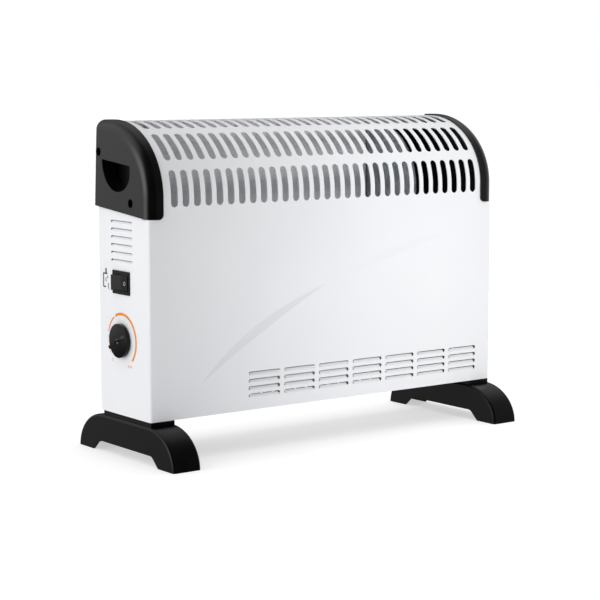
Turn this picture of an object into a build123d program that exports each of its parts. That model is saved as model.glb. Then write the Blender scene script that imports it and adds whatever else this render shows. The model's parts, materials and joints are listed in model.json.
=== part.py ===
from build123d import *
from math import cos, radians, sin
import os

# Fan convector heater. Millimetres, +Z up, floor at Z = 0, front towards -Y, controls on the -X side.
# The origin is the middle of the bounding box at floor level, so the casing sits a little towards +X
# to make up for the thermostat knob.

# Casing
casing_width = 530.0
casing_depth = 112.0
casing_bottom = 51.0
casing_top = 398.5
casing_centre_x = 4.0
sheet = 1.0
bend_radius = 3.0
curve_run = 100.0
curve_rise = 86.5
rear_flange = 12.0
cap_inset = 14.0
step_height = 287.5
wing_top = 306.0

left = casing_centre_x - casing_width / 2
right = casing_centre_x + casing_width / 2
front = -casing_depth / 2
rear = casing_depth / 2
curve_start = casing_top - curve_rise

# Outlet slots: four rows, the first three given by their start and end angle round the rolled corner
slot_count = 30
slot_pitch = 15.94
slot_width = 9.6
first_slot_x = left + 35.5
lower_slot_bottom = 301.0
lower_slot_end_angle = 21.5
middle_slot_angles = (29.5, 56.5)
upper_slot_angles = (64.5, 84.5)
top_slot_limits = (front + 96.5, front + 109.0)
slot_cut_depth = 8.0

# Louvres
front_louvre_groups = 7
front_louvre_rows = 4
louvre_lean = 34.0
front_louvre_length = 47.0
front_louvre_height = 4.6
front_louvre_pitch_x = 53.2
front_louvre_pitch_z = 8.95
first_front_louvre_x = left + 162.8
first_front_louvre_z = 66.3
side_louvre_rows = 6
side_louvre_length = 48.4
side_louvre_height = 3.0
side_louvre_pitch = 9.24
first_side_louvre_z = 234.0
rear_louvre_rows = 5
rear_louvre_height = 5.6
rear_louvre_pitch_z = 11.0
first_rear_louvre_x = left + 105.0
first_rear_louvre_z = 68.0

# Controls, on the left side of the casing
control_y = front + 62.0
switch_y = control_y - 0.6
switch_z = 210.0
bezel_size = (38.2, 28.0)
bezel_thickness = 1.6
switch_body_size = (35.8, 24.6)
switch_depth = 23.0
rocker_half_length = 14.6
rocker_height = 18.6
rocker_travel = 22.0
rocker_stand_out = 0.6
rocker_pivot_depth = 4.0
rocker_gap = 0.3
pivot_radius = 1.5
knob_z = 141.0
knob_radius = 20.4
knob_gap = 0.8
knob_height = 5.0
knob_crown = 1.4
grip_height = 3.4
grip_crest_width = 1.8
grip_foot_width = 5.6
pointer_angle = 25.6
pointer_reach = 21.8
pointer_radius = 2.8
spindle_radius = 3.0
thermostat_screw_offset = 13.0
running_clearance = 0.05

# End caps
cap_stand_out = 2.0
cap_wall = 1.8
cap_depth = 21.3
cap_rounding = 12.0
cap_bottom_front = 287.5
cap_bottom_rear = 298.5
cap_rear_top = 3.0
cap_rear_bottom = 9.0
cap_screws = ((front + 36.6, 304.8), (front + 107.8, 362.6))
counterbore_radius = 5.2
counterbore_depth = 9.0
screw_radius = 2.0

# Finger grip: a pocket with a straight upper edge and a rounded bottom
grip_centre = (front + 68.6, 351.2)
grip_half_width = 31.4
grip_slope = 3.0
grip_bottom = 34.4
grip_lowest_y = -3.0
grip_front_side = 12.0
grip_depth = 21.0

# Feet
foot_stand_out = 2.0
foot_width = 38.0
foot_height = 45.5
toe_run = 56.5
toe_start = 5.0
foot_wall = 2.5
arch_height = 12.4
arch_front = front - 17.0
arch_rear = front + 128.5
arch_slope = 13.0
foot_screw_ys = (front + 22.0, rear - 22.0)
foot_screw_x = 17.0

# Inside
divider_x = left + 402.0
duct_end = right - 22.0
fan_x = (divider_x + 2 + duct_end) / 2
fan_bore = 47.0
impeller_radius = 45.0
impeller_z = 74.0
blade_count = 7
blade_pitch = 32.0
shaft_radius = 2.0
stator_z = (104.0, 124.0)
rotor_radius = 12.0
element_z = 108.0
coil_ys = (-24.0, 0.0, 24.0)
coil_radius = 5.0
coil_wall = 1.2
gland_x = left + 40.0
gland_z = 78.0
flex_bore = 3.6


def block(x_limits, y_limits, z_limits):
    """A box between two limits along each axis."""
    limits = (x_limits, y_limits, z_limits)
    centre = [(low + high) / 2 for low, high in limits]
    size = [high - low for low, high in limits]
    return Pos(*centre) * Box(*size)


def about(centre, half):
    """Limits the same way each side of a centre."""
    return (centre - half, centre + half)


def rod_x(x_limits, y, z, radius):
    """A round bar along X."""
    length = x_limits[1] - x_limits[0]
    return Pos(sum(x_limits) / 2, y, z) * Rot(0, 90, 0) * Cylinder(radius, length)


def rod_y(x, y_limits, z, radius):
    """A round bar along Y."""
    length = y_limits[1] - y_limits[0]
    return Pos(x, sum(y_limits) / 2, z) * Rot(90, 0, 0) * Cylinder(radius, length)


def rod_z(x, y, z_limits, radius):
    """A round bar along Z."""
    length = z_limits[1] - z_limits[0]
    return Pos(x, y, sum(z_limits) / 2) * Cylinder(radius, length)


def group(solids):
    """Separate solids kept together as one node."""
    return Compound(children=list(solids))


def other_side(part):
    """The same piece on the other end of the casing."""
    return mirror(part, about=Plane.YZ.offset(casing_centre_x))


def side_prism(outline, x_limits):
    """A side outline, drawn as (Y, Z), made solid between two X limits."""
    face = Plane.YZ.offset(x_limits[0]) * make_face(outline)
    return extrude(face, x_limits[1] - x_limits[0])


# ---------------------------------------------------------------- casing


def casing_outline(inset):
    """Side outline of the casing, inset from its outer face: upright, rolled over, flat on top."""
    low_y = front + inset
    high_y = rear - inset
    top = casing_top - inset
    centre = (front + curve_run, curve_start)
    return [
        Line((low_y, casing_bottom), (low_y, curve_start)),
        EllipticalCenterArc(centre, curve_run - inset, curve_rise - inset, 90, arc_size=90),
        Line((centre[0], top), (high_y, top)),
        Line((high_y, top), (high_y, casing_bottom)),
        Line((high_y, casing_bottom), (low_y, casing_bottom)),
    ]


def rolled_point(angle):
    """A point on the rolled corner: 0 degrees where it leaves the upright front, 90 at the top."""
    y = front + curve_run * (1 - cos(radians(angle)))
    z = curve_start + curve_rise * sin(radians(angle))
    return Vector(0, y, z)


def slot_rows():
    """Lower and upper end of each row of outlet slots."""
    lower = (Vector(0, front, lower_slot_bottom), rolled_point(lower_slot_end_angle))
    middle = tuple(rolled_point(angle) for angle in middle_slot_angles)
    upper = tuple(rolled_point(angle) for angle in upper_slot_angles)
    top = tuple(Vector(0, y, casing_top) for y in top_slot_limits)
    return [lower, middle, upper, top]


def outlet_slot_cutters():
    """Every outlet slot, as a prism through the sheet, square to the middle of its row."""
    cutters = []
    for low, high in slot_rows():
        along = high - low
        across = along.cross(Vector(1, 0, 0))
        plane = Plane(origin=(low + high) / 2, x_dir=along, z_dir=across)
        slot = extrude(plane * SlotOverall(along.length, slot_width), slot_cut_depth, both=True)
        for i in range(slot_count):
            cutters.append(Pos(first_slot_x + i * slot_pitch, 0, 0) * slot)
    return cutters


def louvre(length, height):
    """One louvre in a panel facing -Y, its lower edge at the origin: the slot to cut, and the tongue."""
    centred = Pos(0, height / 2)
    opening = extrude(Plane.XZ.offset(-2 * sheet) * centred * SlotOverall(length, height), 4 * sheet)
    tongue = extrude(Plane.XZ * centred * Rectangle(length - height, height), -sheet)
    tongue = fillet(tongue.edges().filter_by(Axis.Y).group_by(Axis.Z)[-1], 0.3 * height)
    return opening, Rot(-louvre_lean, 0, 0) * tongue


def add_louvres(panel, length, height, places):
    """Cuts louvres into a panel and leaves each one's tongue leaning inwards from its lower edge."""
    opening, tongue = louvre(length, height)
    panel = panel - [place * opening for place in places]
    tuck = Pos(0, 0, -0.5)
    return panel + [place * tuck * tongue for place in places]


def front_louvre_places():
    places = []
    for column in range(front_louvre_groups):
        for row in range(front_louvre_rows):
            x = first_front_louvre_x + column * front_louvre_pitch_x
            z = first_front_louvre_z + row * front_louvre_pitch_z
            places.append(Pos(x, front, z))
    return places


def side_louvre_places():
    places = []
    for row in range(side_louvre_rows):
        z = first_side_louvre_z + row * side_louvre_pitch
        places.append(Pos(left, control_y - 1.5, z) * Rot(0, 0, -90))
        places.append(Pos(right, control_y - 1.5, z) * Rot(0, 0, 90))
    return places


def rear_louvre_places(panel_y):
    places = []
    for column in range(front_louvre_groups):
        for row in range(rear_louvre_rows):
            x = first_rear_louvre_x + column * front_louvre_pitch_x
            z = first_rear_louvre_z + row * rear_louvre_pitch_z
            places.append(Pos(x, panel_y, z) * Rot(0, 0, 180))
    return places


def front_casing():
    """One folded sheet: the front, both side wings, and the rolled and slotted top."""
    below, above = casing_bottom - 1, step_height + 1
    outer = block((left, right), (front, rear), (casing_bottom, step_height))
    outer = fillet(outer.edges().filter_by(Axis.Z).group_by(Axis.Y)[0], bend_radius)
    inner = block((left + sheet, right - sheet), (front + sheet, rear - sheet), (below, above))
    inner = fillet(inner.edges().filter_by(Axis.Z).group_by(Axis.Y)[0], bend_radius - sheet)
    opening_x = (left + rear_flange, right - rear_flange)
    casing = outer - inner - block(opening_x, (rear - 2 * sheet, rear + 1), (below, above))

    roll_limits = (left + cap_inset, right - cap_inset)
    roll = side_prism(casing_outline(0), roll_limits) - side_prism(casing_outline(sheet), roll_limits)
    roll -= block((left, right), (front - 1, rear + 1), (below, step_height))
    roll -= block((left, right), (rear - 2 * sheet, rear + 1), (step_height - 1, casing_top - rear_flange))
    casing += roll

    wing_y = (front + cap_rounding + 2, rear)
    boss_y, boss_z = cap_screws[0]
    boss_clearance = counterbore_radius + cap_wall + 0.5
    for x_limits in ((left, left + sheet), (right - sheet, right)):
        wing = block(x_limits, wing_y, (step_height, wing_top))
        casing += wing - rod_x(x_limits, boss_y, boss_z, boss_clearance)

    casing = casing - outlet_slot_cutters()
    casing = add_louvres(casing, front_louvre_length, front_louvre_height, front_louvre_places())
    casing = add_louvres(casing, side_louvre_length, side_louvre_height, side_louvre_places())
    casing -= control_holes()
    return casing - [rod_y(x, (rear - 2, rear + 1), z, 1.6) for x, z in casing_screw_places()]


def control_holes():
    """Holes in the left wing for the switch, the thermostat's nose and its two screws."""
    through = (left - 1, left + 2)
    half_y = switch_body_size[0] / 2 + 0.2
    half_z = switch_body_size[1] / 2 + 0.2
    holes = [block(through, about(switch_y, half_y), about(switch_z, half_z))]
    holes.append(rod_x(through, control_y, knob_z, 5.2))
    holes += [rod_x(through, y, knob_z, screw_radius) for y in thermostat_screw_ys()]
    return holes


def casing_screw_places():
    """Screws from behind: up both rear flanges and along the top one."""
    places = []
    for z in (70.0, 165.0, 262.0):
        places += [(left + 7.0, z), (right - 7.0, z)]
    for fraction in (0.12, 0.5, 0.88):
        places.append((left + fraction * casing_width, casing_top - rear_flange + 4.5))
    return places


def rear_panel():
    """Flat sheet inside the rear flanges, with rows of air inlets low down and a hole for the cord bush."""
    y_limits = (rear - 2 * sheet - 0.1, rear - sheet - 0.1)
    lower_x = (left + sheet + 0.2, right - sheet - 0.2)
    upper_inset = cap_inset + sheet + 0.3
    panel = block(lower_x, y_limits, (casing_bottom + 1.2, step_height))
    upper_x = (left + upper_inset, right - upper_inset)
    panel += block(upper_x, y_limits, (step_height, casing_top - sheet - 0.3))
    panel = add_louvres(panel, front_louvre_length, rear_louvre_height, rear_louvre_places(y_limits[1]))
    panel -= rod_y(gland_x, (rear - 5, rear + 1), gland_z, 7.2)
    return panel - [rod_y(x, (rear - 4, rear + 1), z, 1.6) for x, z in casing_screw_places()]


def base_panel():
    """Tray that closes the bottom: upturned edges inside the casing, air inlets between the feet, and
    a barred round inlet under the fan."""
    x_limits = (left + sheet + 0.1, right - sheet - 0.1)
    y_limits = (front + sheet + 0.1, rear - 2 * sheet - 0.3)
    floor_z = (casing_bottom, casing_bottom + sheet)
    tray = block(x_limits, y_limits, (casing_bottom, casing_bottom + 9))
    tray = fillet(tray.edges().filter_by(Axis.Z).group_by(Axis.Y)[0], bend_radius - sheet)
    inside_x = (x_limits[0] + sheet, x_limits[1] - sheet)
    tray -= block(inside_x, (y_limits[0] + sheet, rear), (floor_z[1], floor_z[1] + 20))

    slot = Pos(0, 0, casing_bottom) * Rot(0, 0, 90) * extrude(SlotOverall(34, 6), 3, both=True)
    slot_xs = [left + 60 + column * 17.8 for column in range(24)]
    slot_xs = [x for x in slot_xs if abs(x - fan_x) > 48]
    tray = tray - [Pos(x, y, 0) * slot for x in slot_xs for y in (-22, 22)]

    bars = [block((fan_x - 40, fan_x + 40), (y, y + 2), floor_z) for y in range(-35, 37, 7)]
    bars += [block((x, x + 2), (-40, 40), floor_z) for x in (fan_x - 20, fan_x + 18)]
    tray -= rod_z(fan_x, 0, (casing_bottom - 1, casing_bottom + 2), 38) - bars
    screw_xs = (left + foot_screw_x, right - foot_screw_x)
    screw_z = (casing_bottom - 1, casing_bottom + 2)
    return tray - [rod_z(x, y, screw_z, screw_radius) for x in screw_xs for y in foot_screw_ys]


# ---------------------------------------------------------------- end caps


def cap_outline(inset, drop):
    """Side outline of an end cap. Drop lowers its bottom edge, for the cavity that is open below."""
    low_y = front - cap_stand_out + inset
    top = casing_top + cap_stand_out - inset
    centre = (front + curve_run, curve_start)
    reach = cap_stand_out - inset
    top_rear = (rear + cap_rear_top - inset, top)
    bottom_rear = (rear + cap_rear_bottom - inset, cap_bottom_rear - drop)
    bottom_front = (low_y, cap_bottom_front - drop)
    return [
        Line(bottom_front, (low_y, curve_start)),
        EllipticalCenterArc(centre, curve_run + reach, curve_rise + reach, 90, arc_size=90),
        Line((centre[0], top), top_rear),
        Line(top_rear, bottom_rear),
        Line(bottom_rear, bottom_front),
    ]


def rounded_cap(inset, drop, x_limits, rounding):
    """The cap's block with its outer face rounded over along the front and the top."""
    cap = side_prism(cap_outline(inset, drop), x_limits)
    face_edges = cap.edges().filter_by_position(Axis.X, x_limits[0] - 0.01, x_limits[0] + 0.01)
    ahead = [e for e in face_edges if e.center().Y < front or e.center().Z > curve_start]
    return fillet([e for e in ahead if e.center().Y < rear], rounding)


def grip_outline(margin):
    """The finger grip's mouth, grown by a margin: sloping straight top, short front side, round bottom."""
    y, z = grip_centre
    half = grip_half_width + margin
    rear_top = (y + half, z + grip_slope + margin)
    front_top = (y - half, z - grip_slope + margin)
    front_side = (y - half, z - grip_front_side)
    low_y = y + grip_lowest_y
    low = grip_bottom + margin
    front_bend = (low_y - front_side[0], low - grip_front_side)
    rear_bend = (rear_top[0] - low_y, rear_top[1] - z + low)
    return [
        Line(rear_top, front_top),
        Line(front_top, front_side),
        EllipticalCenterArc((low_y, front_side[1]), *front_bend, 180, arc_size=90),
        EllipticalCenterArc((low_y, rear_top[1]), *rear_bend, 270, arc_size=90),
    ]


def left_end_cap():
    """Moulded cover over the end of the rolled top, with a finger grip and two deep screw holes."""
    outside = left - cap_stand_out
    inner_end = outside + cap_depth
    cap = rounded_cap(0, 0, (outside, inner_end), cap_rounding)
    skirt_corner = cap.edges().filter_by_position(Axis.X, inner_end - 0.01, inner_end + 0.01)
    cap = fillet(skirt_corner.sort_by(Axis.Z)[0], 6.0)
    rear_top = cap.edges().filter_by(Axis.X).sort_by(Axis.Z)[-1]
    cap = fillet(rear_top, 5.0)
    cavity = rounded_cap(cap_wall, 30, (outside + cap_wall, inner_end + 5), cap_rounding - cap_wall)

    pocket = side_prism(grip_outline(cap_wall), (outside + 0.5, outside + grip_depth + cap_wall))
    boss_radius = counterbore_radius + cap_wall
    bosses = [rod_x((outside + 0.5, left + cap_inset - sheet), y, z, boss_radius) for y, z in cap_screws]
    behind = block((inner_end - cap_wall, inner_end), (rear + 0.3, rear + 30), (0, casing_top + 1))
    cap = (cap - cavity) + (cap & behind) + pocket + bosses

    mouth = side_prism(grip_outline(0), (outside - 1, outside + grip_depth))
    counterbore_x = (outside - 1, outside + counterbore_depth)
    counterbores = [rod_x(counterbore_x, y, z, counterbore_radius) for y, z in cap_screws]
    holes = [rod_x((outside, left + cap_inset + 1), y, z, screw_radius + 0.2) for y, z in cap_screws]
    return cap - mouth - counterbores - holes


def left_cap_bracket():
    """Steel end plate behind the cap: closes the top end of the casing, takes the cap's screws, and
    stands on two feet fixed to the wing."""
    x_limits = (left + cap_inset - sheet, left + cap_inset)
    plate = side_prism(casing_outline(sheet + 0.1), x_limits)
    plate -= block((left - 1, left + 20), (front - 1, rear + 1), (0, step_height + 1.5))
    plate -= block((left - 1, left + 20), (rear - 2 * sheet - 0.2, rear + 1), (0, casing_top + 1))
    plate -= side_prism(grip_outline(cap_wall + 1), (left, left + 20))
    plate -= [rod_x((left, left + 20), y, z, screw_radius - 0.2) for y, z in cap_screws]
    for y_limits in ((front + 16, front + 33), (rear - 23, rear - 5)):
        plate += block((left + sheet, x_limits[1]), y_limits, (step_height + 1.5, step_height + 2.5))
        plate += block((left + sheet, left + 2 * sheet), y_limits, (step_height - 14, step_height + 2.5))
    return plate


def pan_screw_x(x_head, direction, y, z, length):
    """A pan-head screw along X: its head outwards from x_head, its shank the other way."""
    head = rod_x(sorted((x_head, x_head - direction * 2.4)), y, z, 2 * screw_radius)
    shank = rod_x(sorted((x_head, x_head + direction * length)), y, z, screw_radius - 0.2)
    slot_x = x_head - direction * 2.4
    cross = [
        block((slot_x - 1, slot_x + 1), (y - 1.9, y + 1.9), (z - 0.4, z + 0.4)),
        block((slot_x - 1, slot_x + 1), (y - 0.4, y + 0.4), (z - 1.9, z + 1.9)),
    ]
    return head + shank - cross


def end_cap_screws():
    """Four screws, one down each deep hole of the two caps."""
    head_x = left - cap_stand_out + counterbore_depth
    screws = [pan_screw_x(head_x, 1, y, z, 9.5) for y, z in cap_screws]
    return group(screws + [other_side(screw) for screw in screws])


# ---------------------------------------------------------------- feet


def foot_outline(inset):
    """Side outline of a foot: two round toes and a flat back."""
    run = toe_run - inset
    height = foot_height - inset
    front_centre = (front + toe_start, 0)
    rear_centre = (rear - toe_start, 0)
    return [
        EllipticalCenterArc(front_centre, run, height, 90, arc_size=90),
        Line((front_centre[0], height), (rear_centre[0], height)),
        EllipticalCenterArc(rear_centre, run, height, 0, arc_size=90),
        Line((rear_centre[0] + run, 0), (front_centre[0] - run, 0)),
    ]


def arch_outline():
    """The low arch between the toes."""
    corners = [
        (arch_front - 2, -1),
        (arch_front + arch_slope, arch_height),
        (arch_rear - arch_slope, arch_height),
        (arch_rear + 2, -1),
    ]
    sketch = fillet(Polygon(*corners, align=None).vertices().group_by(Axis.Y)[-1], 9.0)
    return sketch.face().outer_wire().edges()


def left_foot():
    """Moulded foot, hollow from below, with ribs, two screw tubes and a raised pad under the casing."""
    outside = left - foot_stand_out
    inside = outside + foot_width
    foot = side_prism(foot_outline(0), (outside, inside))
    long_edges = [e for e in foot.edges() if e.center().X < outside + 0.1 or e.center().X > inside - 0.1]
    foot = fillet([e for e in long_edges if e.center().Z > 1], 3.0)
    foot += block((left + 1.0, inside - 2.5), (front + 0.8, rear - 4.5), (foot_height - 4, casing_bottom))

    hollow = side_prism(foot_outline(foot_wall), (outside + foot_wall, inside - foot_wall))
    mid_x = left + foot_screw_x
    rib_z = (arch_height + 2, foot_height - 1)
    ribs = [block((outside + 1, inside - 1), about(y, 1), rib_z) for y in foot_rib_ys()]
    tubes = [rod_z(mid_x, y, rib_z, 6.8) for y in foot_screw_ys]
    foot = foot - (hollow - ribs - tubes)
    foot -= side_prism(arch_outline(), (outside - 1, inside + 1))
    foot -= [rod_z(mid_x, y, (0, 38), 4.8) for y in foot_screw_ys]
    foot -= [rod_z(mid_x, y, (30, casing_bottom + 1), screw_radius + 0.2) for y in foot_screw_ys]
    return foot


def foot_rib_ys():
    """Cross ribs inside a foot, evenly spaced, clear of the screw tubes."""
    spacing = 24.5
    return [step * spacing for step in (-3.4, -2.4, -0.5, 0.5, 2.4, 3.4)]


def foot_screws():
    """Four pan-head screws, up through the feet into the base panel."""
    screws = []
    for x in (left + foot_screw_x, right - foot_screw_x):
        for y in foot_screw_ys:
            head = rod_z(x, y, (35.4, 38), 2 * screw_radius)
            shank = rod_z(x, y, (38, 58), screw_radius - 0.1)
            cross = [block((x - 1.9, x + 1.9), (y - 0.4, y + 0.4), (35, 36.4))]
            cross.append(block((x - 0.4, x + 0.4), (y - 1.9, y + 1.9), (35, 36.4)))
            screws.append(head + shank - cross)
    return group(screws)


def casing_screws():
    """Self-tapping screws that hold the rear panel in the casing's flanges."""
    screws = []
    for x, z in casing_screw_places():
        head = rod_y(x, (rear, rear + 1.8), z, 3.2)
        shank = rod_y(x, (rear - 7, rear), z, 1.5)
        cross = [block((x - 1.7, x + 1.7), (rear + 1, rear + 3), (z - 0.35, z + 0.35))]
        cross.append(block((x - 0.35, x + 0.35), (rear + 1, rear + 3), (z - 1.7, z + 1.7)))
        screws.append(head + shank - cross)
    return group(screws)


# ---------------------------------------------------------------- controls


def rocker_reach():
    """How far the rocker's ends are from its pivot."""
    tilt = radians(rocker_travel / 2)
    depth = rocker_pivot_depth + bezel_thickness + rocker_stand_out
    return (rocker_half_length**2 + depth**2 + 2 * rocker_half_length * depth * sin(tilt)) ** 0.5


def switch_body():
    """Moulded switch housing with a bezel outside the casing, hollow for the rocker."""
    bezel_y, bezel_z = bezel_size[0] / 2, bezel_size[1] / 2
    bezel_limits = (left - bezel_thickness, left)
    bezel = block(bezel_limits, about(switch_y, bezel_y), about(switch_z, bezel_z))
    bezel = fillet(bezel.edges().filter_by(Axis.X), 1.0)
    bezel = fillet(bezel.faces().sort_by(Axis.X)[0].edges(), 0.5)
    body_y, body_z = switch_body_size[0] / 2, switch_body_size[1] / 2
    body_limits = (left, left + switch_depth)
    body = block(body_limits, about(switch_y, body_y), about(switch_z, body_z))
    cavity_y = rocker_reach() + rocker_gap
    cavity_z = rocker_height / 2 + rocker_gap
    cavity_limits = (left - 3, left + 15)
    housing = bezel + body
    housing -= block(cavity_limits, about(switch_y, cavity_y), about(switch_z, cavity_z))
    pin_z = about(switch_z, cavity_z + 2)
    return housing - rod_z(left + rocker_pivot_depth, switch_y, pin_z, pivot_radius + running_clearance)


def switch_rocker():
    """Rocker with a shallow V face and stub pins, drawn level and then tipped to its rest position:
    the front end pressed in, the rear end standing out."""
    tilt = radians(rocker_travel / 2)
    reach_y = rocker_half_length * cos(tilt)
    middle_x = -(rocker_pivot_depth + bezel_thickness + rocker_stand_out)
    end_x = middle_x - rocker_half_length * sin(tilt)
    rear_half = [(end_x, reach_y), (-1.5, reach_y), (6, 9)]
    front_half = [(x, -y) for x, y in reversed(rear_half)]
    outline = Polyline(*front_half, (middle_x, 0), *rear_half, close=True)
    rocker = Pos(0, 0, -rocker_height / 2) * extrude(make_face(outline), rocker_height)
    face_edges = rocker.edges().filter_by(lambda edge: edge.center().X < middle_x)
    rocker = fillet(face_edges.filter_by(lambda edge: abs(edge.center().Z) > rocker_height / 3), 0.7)
    rocker += Cylinder(pivot_radius, rocker_height + 4)
    return Pos(left + rocker_pivot_depth, switch_y, switch_z) * Rot(0, 0, rocker_travel / 2) * rocker


def switch_terminals():
    """Four brass blades at the back of the switch."""
    x_limits = (left + switch_depth, left + switch_depth + 8)
    blades = []
    for y in (switch_y - 11, switch_y + 11):
        for z in (switch_z - 6, switch_z + 6):
            blades.append(block(x_limits, (y - 0.4, y + 0.4), (z - 3.1, z + 3.1)))
    return group(blades)


def thermostat_knob():
    """Round knob, slightly crowned, with a bar across it to grip and a small pointer at its rim.
    Its back is hollow, round a hub that fits the spindle."""
    back = -knob_gap
    face = back - knob_height
    sphere_radius = (knob_radius**2 + knob_crown**2) / (2 * knob_crown)
    crown = Pos(face - knob_crown + sphere_radius, 0, 0) * Sphere(sphere_radius)
    body = rod_x((face - knob_crown, back), 0, 0, knob_radius) & crown
    body = fillet(body.edges().filter_by(GeomType.CIRCLE).sort_by(Axis.X)[0], 1.2)

    bar = Polygon(
        (face + 1, -grip_foot_width / 2),
        (face - grip_height, -grip_crest_width / 2),
        (face - grip_height, grip_crest_width / 2),
        (face + 1, grip_foot_width / 2),
        align=None,
    )
    bar = extrude(Plane.XZ * bar, knob_radius, both=True)
    bar = fillet(bar.edges().filter_by(Axis.Y).group_by(Axis.X)[0], 0.5)
    bar &= Pos(face - grip_height + 45, 0, 0) * Sphere(45)
    body += bar & rod_x((face - 5, back), 0, 0, knob_radius - 0.6)
    body += Pos(face + pointer_radius - 1, pointer_reach, 0) * Sphere(pointer_radius)
    body += block((face + 1, face + 4), (knob_radius - 2, pointer_reach), (-2, 2))

    hollow = rod_x((back - 3, back + 1), 0, 0, knob_radius - 2) - rod_x((back - 4, back + 2), 0, 0, 5.4)
    bore = rod_x((back - 6.5, back + 1), 0, 0, spindle_radius)
    flat = block((back - 7, back + 1), (-4, 4), (spindle_radius - 0.8, 5))
    return Pos(left, control_y, knob_z) * Rot(-pointer_angle, 0, 0) * (body - hollow - (bore - flat))


def thermostat_spindle():
    """Steel spindle, its outer end flatted for the knob."""
    spindle = rod_x((-knob_gap - 6.4, 14), 0, 0, spindle_radius)
    spindle -= block((-knob_gap - 7, 0), (-4, 4), (spindle_radius - 0.8, 5))
    spindle += rod_x((11.5, 14), 0, 0, 5.0)
    return Pos(left, control_y, knob_z) * Rot(-pointer_angle, 0, 0) * spindle


def thermostat_screw_ys():
    return (control_y - thermostat_screw_offset, control_y + thermostat_screw_offset)


def thermostat_body():
    """Moulded thermostat with a brass-lined nose that the spindle turns in, screwed behind the panel."""
    y_limits = (control_y - 19, control_y + 19)
    body = block((left + sheet, left + 26), y_limits, (knob_z - 13, knob_z + 13))
    body = fillet(body.edges().filter_by(Axis.X), 2.0)
    body += rod_x((left, left + sheet + 1), control_y, knob_z, 5.0)
    body -= rod_x((left - 1, left + 12), control_y, knob_z, spindle_radius + running_clearance)
    body -= rod_x((left + 11, left + 15), control_y, knob_z, 5.5)
    return body - [rod_x((left, left + 10), y, knob_z, screw_radius - 0.2) for y in thermostat_screw_ys()]


def thermostat_screws():
    """Two screws through the panel, under the knob."""
    return group(pan_screw_x(left, 1, y, knob_z, 8) for y in thermostat_screw_ys())


def thermostat_terminals():
    """Two blades at the back of the thermostat."""
    blades = []
    for y in (control_y - 9, control_y + 9):
        blades.append(block((left + 26, left + 34), (y - 3.1, y + 3.1), (knob_z - 0.4, knob_z + 0.4)))
    return group(blades)


# ---------------------------------------------------------------- fan


def fan_shroud():
    """Moulded plate with the fan's round throat, closing the bottom of the fan chamber."""
    plate = block((divider_x + 2, right - 2.5), (front + 3, rear - 4), (63, 65.5))
    ring = rod_z(fan_x, 0, (63, 88), fan_bore + 2)
    shroud = plate + ring
    return shroud - rod_z(fan_x, 0, (60, 90), fan_bore)


def fan_duct():
    """Moulded liner of the fan chamber: rear, end and divider walls that stand on the shroud."""
    x_limits = (divider_x + 2, duct_end)
    y_limits = (front + 6, rear - 4.5)
    wall = 1.5
    duct = block(x_limits, y_limits, (90, 386))
    duct -= block((x_limits[0] + wall, x_limits[1] - wall), (y_limits[0] - 1, y_limits[1] - wall), (80, 400))
    rounded_front = side_prism(casing_outline(5), (divider_x, right))
    return duct & rounded_front


def fan_impeller():
    """Pressed impeller: a hub and pitched blades."""
    hub = rod_z(0, 0, (-9, 9), 9)
    blade = Pos(25, 0, 0) * Rot(blade_pitch, 0, 0) * Box(44, 26, 1.2)
    blades = [Rot(0, 0, 360 / blade_count * i) * blade for i in range(blade_count)]
    impeller = (hub + blades) & Cylinder(impeller_radius, 40)
    impeller -= Cylinder(shaft_radius, 30)
    return Pos(fan_x, 0, impeller_z) * impeller


def fan_shaft():
    """Steel shaft through the impeller, both bearings and the rotor."""
    return rod_z(fan_x, 0, (impeller_z - 11, 134), shaft_radius)


def fan_rotor():
    """Laminated rotor core pressed on the shaft."""
    core_z = (stator_z[0] + 0.5, stator_z[1] - 0.5)
    return rod_z(fan_x, 0, core_z, rotor_radius) - rod_z(fan_x, 0, core_z, shaft_radius)


def fan_stator():
    """Laminated C-frame of the motor, bored for the rotor, with a leg for the coil."""
    core = block((fan_x - 26, fan_x + 38), (-24, 24), stator_z)
    core -= rod_z(fan_x, 0, (stator_z[0] - 1, stator_z[1] + 1), rotor_radius + 0.4)
    core -= block((fan_x + 17, fan_x + 27), (-16, 16), (stator_z[0] - 1, stator_z[1] + 1))
    core -= [rod_z(fan_x - 20, y, (stator_z[0] - 1, stator_z[1] + 1), screw_radius) for y in (-19, 19)]
    return fillet(core.edges().filter_by(Axis.Z).group_by(Axis.X)[0], 6.0)


def fan_coil():
    """Wound bobbin round the stator's leg."""
    coil = block((fan_x + 17.5, fan_x + 44.5), (-15, 15), (stator_z[0] - 9, stator_z[1] + 9))
    coil = fillet(coil.edges().filter_by(Axis.Y), 4.0)
    return coil - block((fan_x + 26.8, fan_x + 38.2), (-20, 20), (stator_z[0] - 0.2, stator_z[1] + 0.2))


def fan_bearings():
    """Two bronze bushes, above and below the rotor."""
    bore = shaft_radius + running_clearance
    limits = ((stator_z[1] + 0.8, stator_z[1] + 7), (stator_z[0] - 8, stator_z[0] - 1.2))
    return group(rod_z(fan_x, 0, z, 5) - rod_z(fan_x, 0, (50, 150), bore) for z in limits)


def fan_bridge():
    """Pressed strap under the stator that carries the lower bearing."""
    z = stator_z[0] - 5
    bridge = block((fan_x - 25, fan_x - 15), (-24, 24), (z, z + 1.5))
    bridge += block((fan_x - 25, fan_x + 8), (-8, 8), (z, z + 1.5))
    bridge += [block((fan_x - 25, fan_x - 15), (y - 1.5, y + 1.5), (z, stator_z[0])) for y in (-22.5, 22.5)]
    return bridge - rod_z(fan_x, 0, (z - 1, z + 3), 5)


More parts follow.
